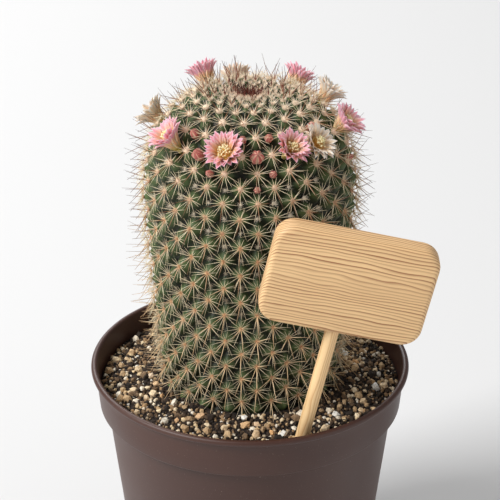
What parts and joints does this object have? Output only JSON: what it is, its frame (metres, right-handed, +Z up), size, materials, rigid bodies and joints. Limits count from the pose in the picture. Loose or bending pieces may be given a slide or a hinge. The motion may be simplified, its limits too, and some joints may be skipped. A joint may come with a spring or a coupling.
{
  "type": "potted flowering cactus with a bare wooden label",
  "caption": "Round-bodied spiny cactus in flower, in a tapered round nursery pot of gritty soil, with a blank rounded wooden label on a dowel.",
  "frame": {"origin": "centre of the pot's flat underside", "axes": "+Z up the pot's axis, -Y towards the viewer and the label's face, +X to the viewer's right"},
  "size_m": [0.1254, 0.12, 0.22],
  "materials": {
    "pot_plastic": "satin brown moulded plastic",
    "gritty_soil": "coarse mineral grit",
    "cactus_skin": "matt waxy green skin with cream spines",
    "pink_petals": "soft satin petals",
    "cream_petals": "soft satin petals",
    "peach_petals": "soft satin petals",
    "bud_sepals": "soft satin sepals",
    "pale_pine": "smooth sanded, unvarnished",
    "dowel_wood": "plain turned, unvarnished"
  },
  "bodies": {
    "root": {"pot": "pot_plastic", "soil": "gritty_soil", "stem": "cactus_skin", "bloom_01": "pink_petals", "bloom_02": "pink_petals", "bloom_03": "cream_petals", "bloom_04": "pink_petals", "bloom_05": "cream_petals", "bloom_06": "pink_petals", "bloom_07": "peach_petals", "bloom_08": "pink_petals", "bloom_09": "cream_petals", "bloom_10": "pink_petals", "bud_01": "bud_sepals", "bud_02": "bud_sepals", "bud_03": "bud_sepals", "bud_04": "bud_sepals", "bud_05": "bud_sepals", "bud_06": "bud_sepals", "bud_07": "bud_sepals", "bud_08": "bud_sepals", "bud_09": "bud_sepals", "bud_10": "bud_sepals", "bud_11": "bud_sepals", "sign_board": "pale_pine", "sign_stick": "dowel_wood"}
  },
  "joints": []
}
